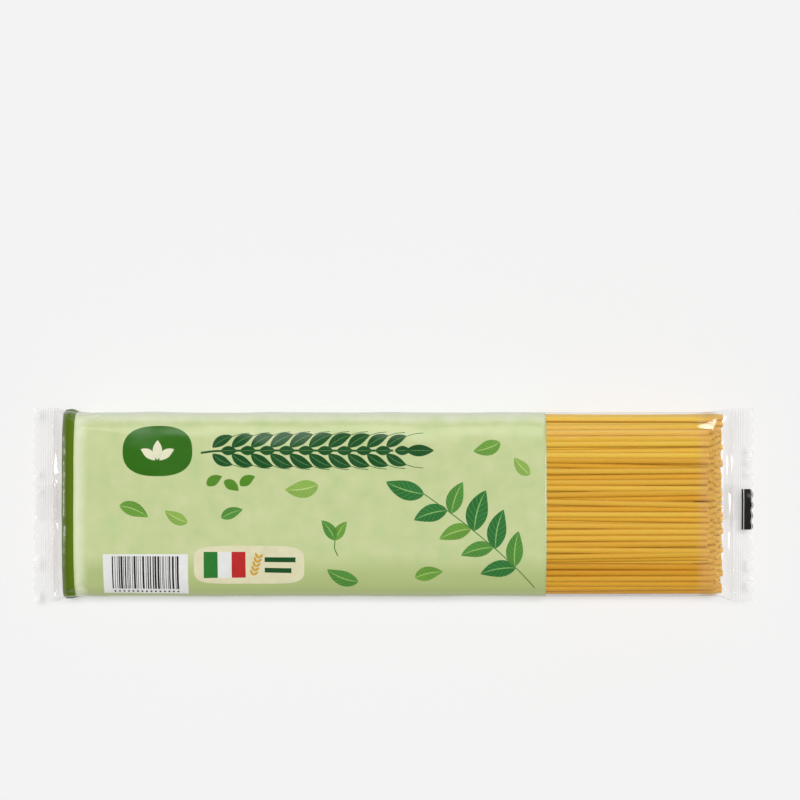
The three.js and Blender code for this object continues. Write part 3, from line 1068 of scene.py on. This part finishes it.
def code_bars(x0, x1, y0, y1):
    """Upright bars of seeded random widths, as a bar code has, which stand for no number."""
    random = np.random.default_rng(5)
    bars, x = [], x0
    while x < x1 - 0.8:
        width = random.choice([0.25, 0.25, 0.5, 0.75])
        bars.append(bar(x, x + width, y0, y1))
        x += width + random.choice([0.25, 0.4, 0.6])
    return bars


def print_badge():
    """A plain dark green badge, a squarish oval, with three pale kernels."""
    x, y = -91.3, 21.6
    print_piece("badge_field", [rounded_field(x, y, 13.5, 9.7, 2.5, 16, 120)],
                ink_material("badge_ink", linear(50, 113, 19)), FIRST_INK)
    kernels = [leaf(x, y - 3.4, 7.6, 3.6, 90, 0.0, 0.95),
               leaf(x + 0.9, y - 3.6, 7.0, 3.3, 38, 0.15, 0.95),
               leaf(x - 0.9, y - 3.6, 7.0, 3.3, 142, -0.15, 0.95)]
    print_piece("badge_kernels", kernels, ink_material("pale_ink", linear(238, 236, 205)), SECOND_INK)


def print_title():
    """A lying ear of wheat in dark green, and under it a row of small leaves in mid green."""
    grains, bristles = wheat_ear(-70.0, 13.0, 21.8, 10.4, 4.5, 29.0)
    veined = ink_material("title_ink", linear(22, 82, 34), linear(92, 140, 80))
    print_piece("title_grains", grains, veined, SECOND_INK)
    lines = bristles + [stalk([(-74.5, 20.9), (-70.0, 21.6), (-60, 21.8), (-30, 21.8), (0, 21.8)], 0.8)]
    print_piece("title_lines", lines, ink_material("line_ink", linear(26, 88, 38)), FIRST_INK)
    green = ink_material("row_ink", linear(88, 144, 40))
    row = [(-72.0, 8.2, 32), (-65.6, 9.8, -32), (-59.2, 8.2, 32)]
    leaves = [leaf(x, y, 6.8, 4.0, heading, 0.14) for x, y, heading in row]
    print_piece("row_leaves", leaves, green, FIRST_INK)


# Leaf inks: the blade's colour and the veins'
LEAF_INKS = {
    "pale": (linear(146, 186, 84), linear(196, 216, 138)),
    "fresh": (linear(108, 162, 62), linear(178, 208, 120)),
    "mid": (linear(84, 148, 62), linear(160, 200, 110)),
    "deep": (linear(50, 122, 58), linear(140, 188, 108)),
}

# Leaves: ink, stalk end x and y, length, width, heading in degrees, bend
LEAVES = [
    ("fresh", -106.0, 0.5, 12.0, 5.6, 338, 0.14),
    ("pale", -79.5, -6.0, 10.0, 4.8, 152, 0.12),
    ("mid", -66.5, -4.4, 9.0, 4.4, 22, 0.12),
    ("pale", -29.0, 8.6, 13.0, 6.8, 188, 0.14),
    ("fresh", -22.5, -13.0, 8.6, 4.2, 58, 0.10),
    ("mid", -22.5, -13.0, 9.4, 4.6, 124, -0.12),
    ("mid", -13.5, -29.0, 13.0, 6.0, 158, 0.16),
    ("fresh", 8.5, -27.5, 11.0, 5.4, 12, 0.12),
    ("fresh", 41.5, 25.0, 11.0, 5.8, 198, 0.12),
    ("pale", 53.0, 12.5, 9.0, 4.8, 132, 0.12),
    ("mid", 47.2, -23.3, 14.0, 6.6, 84, 0.12),
    ("deep", 47.6, -23.7, 14.0, 6.6, 190, -0.12),
    ("deep", 39.6, -16.2, 15.5, 7.4, 78, 0.12),
    ("mid", 38.9, -15.7, 13.0, 6.0, 194, -0.12),
    ("deep", 31.4, -9.4, 16.5, 8.4, 74, 0.12),
    ("fresh", 30.2, -8.5, 13.0, 6.2, 198, -0.12),
    ("mid", 22.6, -2.6, 13.0, 6.4, 70, 0.12),
    ("deep", 21.0, -1.4, 13.5, 6.8, 196, -0.12),
    ("deep", 12.0, 5.0, 15.5, 7.4, 162, 0.10),
]

# Stalks: the branch that most leaves of the right side grow on, and a short stalk
STALKS = [
    [(55.0, -31.5), (49.0, -25.0), (40.5, -17.0), (31.5, -9.5), (22.5, -2.5), (12.0, 5.0)],
    [(-22.5, -13.0), (-22.8, -16.0), (-21.4, -19.0)],
]


def print_leaves():
    """Plain pointed leaves in four greens: a branch of them at the right, and a thin scatter elsewhere."""
    for ink, (colour, vein) in LEAF_INKS.items():
        chosen = [leaf(*place) for kind, *place in LEAVES if kind == ink]
        print_piece(f"{ink}_leaves", chosen, ink_material(f"{ink}_leaf_ink", colour, vein), FIRST_INK)
    lines = [stalk(points, 0.38) for points in STALKS]
    print_piece("leaf_stalks", lines, ink_material("stalk_ink", linear(78, 128, 60)), SECOND_INK)


def print_code():
    """A white field with bars that stand for no number."""
    white = ink_material("white_ink", linear(242, 242, 240))
    black = ink_material("black_ink", linear(38, 38, 38))
    print_piece("code_field", [bar(-112.4, -79.5, -33.7, -18.3)], white, FIRST_INK)
    marks = code_bars(-109.0, -82.6, -31.9, -19.1)
    marks += [bar(x, x + 0.7, -33.2, -32.6) for x in np.arange(-108.4, -83.0, 1.75)]
    print_piece("code_bars", marks, black, SECOND_INK)


def print_label():
    """A cream label with a small flag patch of three upright stripes, a gold ear and two plain bars."""
    cream = ink_material("cream_ink", linear(233, 228, 190))
    print_piece("label_field", [rounded_field(-55.8, -22.5, 21.4, 7.5, 4.6, 24, 160)], cream, FIRST_INK)
    stripes = (("flag_green", linear(48, 128, 52), -73.4), ("flag_white", linear(240, 240, 236), -68.0),
               ("flag_red", linear(196, 46, 44), -62.6))
    for name, colour, x in stripes:
        print_piece(name, [bar(x, x + 5.4, -27.6, -17.4)], ink_material(name + "_ink", colour), SECOND_INK)
    ear = [leaf(-54.4 + 0.5 * k, -26.8 + 1.7 * k, 2.6, 1.1, 74 + side * 38, 0.0, 0.95)
           for k in range(5) for side in (-1, 1)]
    print_piece("label_ear", ear, ink_material("gold_ink", linear(214, 170, 70)), SECOND_INK)
    lines = [bar(-49.8, -37.8, -21.4, -19.5), bar(-49.8, -39.4, -25.6, -23.7)]
    print_piece("label_bars", lines, ink_material("bar_ink", linear(30, 84, 40)), SECOND_INK)


# Assembly

def build_film():
    """The film: its printed length, the clear window, a neck at each end and the two crimped seals."""
    clear = film_material("clear_film", haze=0.0, rim=0.26, roughness=0.10, mirror=0.4,
                          tint=linear(250, 246, 242), finish=dusty)
    left_neck = film_material("left_neck_film", haze=0.01, rim=0.22, roughness=0.12, mirror=0.9,
                              tint=NEAR_WHITE)
    right_neck = film_material("right_neck_film", haze=0.0, rim=0.10, roughness=0.12, mirror=0.6,
                               tint=NEAR_WHITE)
    pressed = film_material("pressed_film", haze=0.03, rim=0.20, roughness=0.14, mirror=0.44,
                            tint=WHITE, finish=crimped)
    printed_stations = along((PRINT_START, 0.5), (BAND_END, 0.6), (-108, 1.2), (PRINT_EDGE, 0))
    body = make_piece("printed_film", film_tube(printed_stations, even_angles(AROUND)),
                      printed_film_material(), FILM_THICKNESS)
    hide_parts("printed_wrapper")
    fine = even_angles(2 * AROUND)
    for name, stations, material in (
        ("window_film", along((PRINT_EDGE, 1.5), (114, 0.3), (NECK_START, 0)), clear),
        ("neck_right", along((NECK_START, 0.13), (SEAL_LINE, 0)), right_neck),
        ("neck_left", along((-SEAL_LINE, 0.13), (PRINT_START, 0)), left_neck),
    ):
        make_piece(name, film_tube(stations, fine), material)
    for side, name in ((-1, "seal_left"), (1, "seal_right")):
        seal = make_piece(f"crimped_{name}", seal_sheet(side), pressed)
        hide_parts(name)


def build_pasta():
    """The strands in the window, the short ones at the closed end, and the core they lie round."""
    material = pasta_material()
    bundle = make_piece("strands", window_strands(), material, sharp=35.0)
    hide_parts("spaghetti")
    far = make_piece("strand_ends", closed_end_strands(), material, sharp=35.0)
    core = make_piece("bundle_core", bundle_core(), material, sharp=35.0)


def fin_strip(stations):
    """The back seam folded flat against the underside: a strip of film 0.15 mm under the pack's lowest
    line, which runs on under the seals, with the fine ridges of its own sealing along it."""
    y = np.linspace(seam_low[1], seam_high[1], 29)
    _, middle, _, _, below = section(stations)
    ridges = 0.03 * np.cos(2 * math.pi * (y - y[0]) / 2.0)
    z = (middle - below)[:, None] - 0.15 + ridges[None, :]
    points = np.stack(np.broadcast_arrays(stations[:, None], y[None, :], z), axis=-1)
    return grid(points)


def build_seam():
    """The back seam in three lengths: printed along the print, and clear towards each end."""
    clear = film_material("fin_film", haze=0.03, rim=0.20, roughness=0.15, mirror=1.0,
                          tint=linear(250, 250, 250))
    stations = along((PRINT_START, 0.7), (-112, 5.0), (PRINT_EDGE, 0))
    printed = make_piece("printed_fin", fin_strip(stations), printed_film_material(), 0.06)
    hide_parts("back_seam")
    end = HALF_LENGTH - 1.2
    for name, stations in (
        ("fin_left", along((-end, 0.7), (PRINT_START, 0))),
        ("fin_right", along((PRINT_EDGE, 5.0), (112, 0.7), (end, 0))),
    ):
        make_piece(name, fin_strip(stations), clear)


def build_eye_mark():
    """The black register mark printed on the clear end's outer margin, parted by two fine gaps: the first is
    a painted highlight along a rib, and the second runs near the mark's outer edge.
    """
    y = np.linspace(6.4, -9.8, 81)[None, :]
    half_width = SEAL_WIDTH / 2
    angle = np.arccos(np.sign(y) * np.abs(y / half_width) ** (TOP_SQUARENESS / 2))
    parts = []
    # The gap after the first part is a painted highlight along a rib
    for start, end, count in ((2.9, 3.6, 4), (3.9, 6.95, 14), (7.2, SEAL_DEPTH, 3)):
        x = SEAL_LINE + np.linspace(start, end, count)[:, None]
        points = seal_point(x, angle, 1)
        points[..., 2] += 0.04
        parts.append(turned_up(grid(points)))
    mark = make_piece("register_mark", joined(parts), ink_material("mark_ink", linear(34, 34, 33)))


def build_table():
    """A pale table, lit a little from within."""
    size = 3000.0
    edges = np.array([-size, size])
    x, y = np.meshgrid(edges, edges, indexing="ij")
    sheet = turned_up(flat(x, y))
    mesh = bpy.data.meshes.new("table")
    mesh.from_pydata((sheet["points"] * MM).tolist(), [], sheet["quads"].tolist())
    material, _, shader = new_material("table_top")
    shader.inputs["Base Color"].default_value = (0.48, 0.48, 0.48, 1.0)
    shader.inputs["Emission Color"].default_value = (1.0, 1.0, 1.0, 1.0)
    shader.inputs["Emission Strength"].default_value = 0.395
    shader.inputs["Roughness"].default_value = 0.9
    shader.inputs["IOR"].default_value = 1.0
    mesh.materials.append(material)
    table = bpy.data.objects.new("table", mesh)
    bpy.context.scene.collection.objects.link(table)


# Lamps: name, tilt from straight above, heading, spread (all in degrees), strength, and whether the lamp
# only lights things or only shines in the film
LAMPS = [
    ("key", 8.3, 90.0, 15.0, 2.72, "light"),
    ("fill", 0.0, 0.0, 60.0, 0.27, "light"),
    ("back_veil", 36.0, 90.0, 24.0, 0.38, "shine"),
    ("back_low", 88.0, 90.0, 44.0, 0.55, "shine"),
    ("right_glint", 63.5, 74.4, 7.0, 0.45, "shine"),
    ("right_low", 72.0, 0.0, 30.0, 0.50, "shine"),
    ("left_low", 80.0, 180.0, 30.0, 0.12, "shine"),
    ("right_spark", 79.0, 0.0, 7.0, 0.30, "shine"),
    ("left_spark", 79.0, 180.0, 7.0, 0.24, "shine"),
]


def build_light():
    """The lamps and a dim room."""
    for name, tilt, heading, spread, strength, role in LAMPS:
        lamp = bpy.data.lights.new(name, "SUN")
        lamp.energy = strength
        lamp.angle = math.radians(spread)
        holder = bpy.data.objects.new(name, lamp)
        holder.rotation_euler = (0.0, math.radians(tilt), math.radians(heading))
        holder.visible_glossy = role == "shine"
        holder.visible_diffuse = role == "light"
        bpy.context.scene.collection.objects.link(holder)

    world = bpy.data.worlds.new("room")
    world.use_nodes = True
    background = world.node_tree.nodes["Background"]
    background.inputs["Color"].default_value = (1.0, 1.0, 1.0, 1.0)
    background.inputs["Strength"].default_value = 0.10
    bpy.context.scene.world = world
    bpy.context.scene.view_settings.view_transform = "Standard"


def build_camera():
    """The camera, straight above, with a view view_width wide at the level of the pack's middle."""
    view_width, lens, sensor, level = 314.9, 100.0, 36.0, 11.5
    x, y = 2.66, 41.4
    camera = bpy.data.cameras.new("camera")
    camera.lens = lens
    camera.sensor_width = sensor
    holder = bpy.data.objects.new("camera", camera)
    holder.location = (x * MM, y * MM, (level + view_width * lens / sensor) * MM)
    bpy.context.scene.collection.objects.link(holder)
    bpy.context.scene.camera = holder


build_film()
build_pasta()
build_seam()
build_eye_mark()
print_badge()
print_title()
print_leaves()
print_code()
print_label()
build_table()
build_light()
build_camera()
